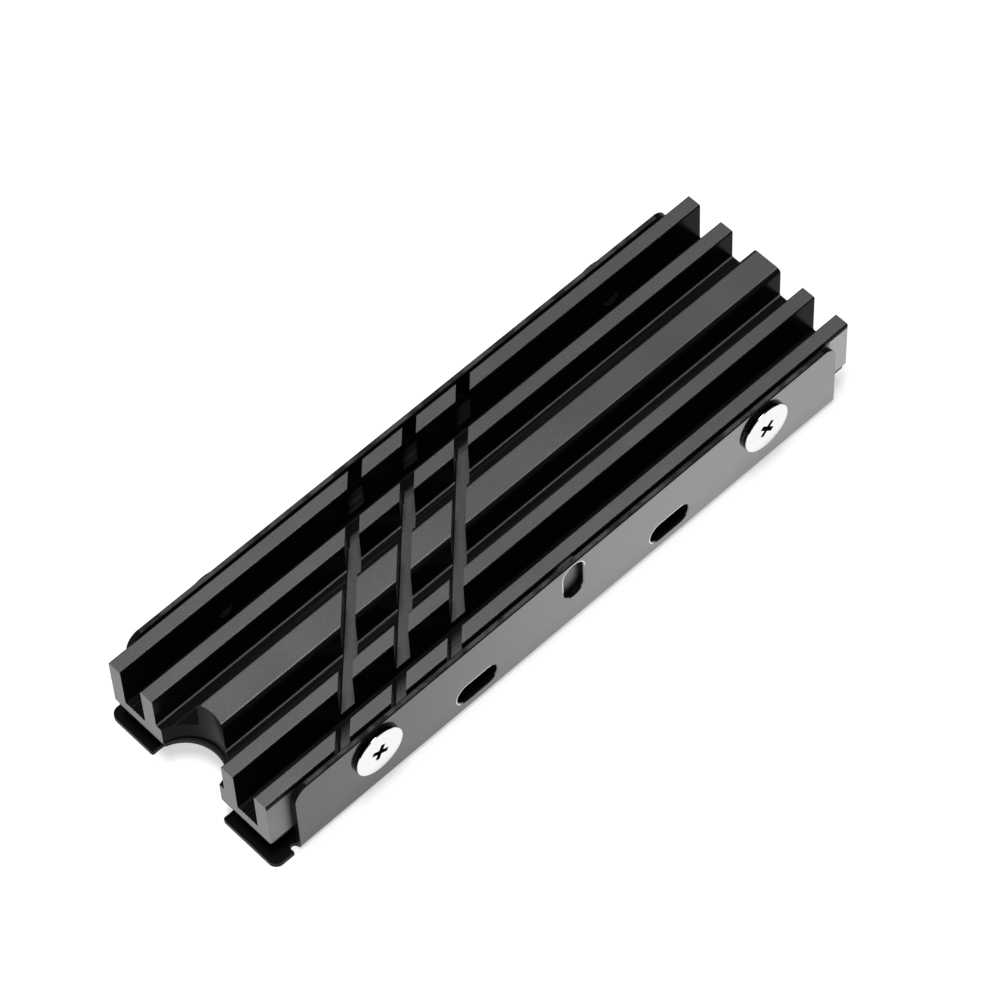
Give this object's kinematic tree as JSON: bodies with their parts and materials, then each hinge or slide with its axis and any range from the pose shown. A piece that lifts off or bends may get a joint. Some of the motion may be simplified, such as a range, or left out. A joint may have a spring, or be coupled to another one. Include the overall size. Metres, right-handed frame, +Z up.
{
  "type": "ssd heat sink",
  "caption": "Finned aluminium block over a folded black sheet tray held by flat side screws, with thermal pads, to clamp round a flat storage module and cool it.",
  "frame": {"origin": "middle of the bounding box's bottom face, on the underside of the tray", "axes": "+X along the length from the notched end to the plain end, +Y to the left seen from the notched end, +Z up through the fins"},
  "size_m": [0.0772, 0.0248, 0.0104],
  "materials": {
    "anodised_aluminium": "sand-blasted and anodised dark grey",
    "black_coated_sheet": "smooth satin black coating",
    "dark_silicone_pad": "matte soft silicone",
    "nickel_screw": "bright nickel plating"
  },
  "bodies": {
    "root": {"finned_block": "anodised_aluminium", "bottom_tray": "black_coated_sheet", "upper_thermal_pad": "dark_silicone_pad", "lower_thermal_pad": "dark_silicone_pad", "side_screw_left_near": "nickel_screw", "side_screw_left_far": "nickel_screw", "side_screw_right_near": "nickel_screw", "side_screw_right_far": "nickel_screw"}
  },
  "joints": []
}
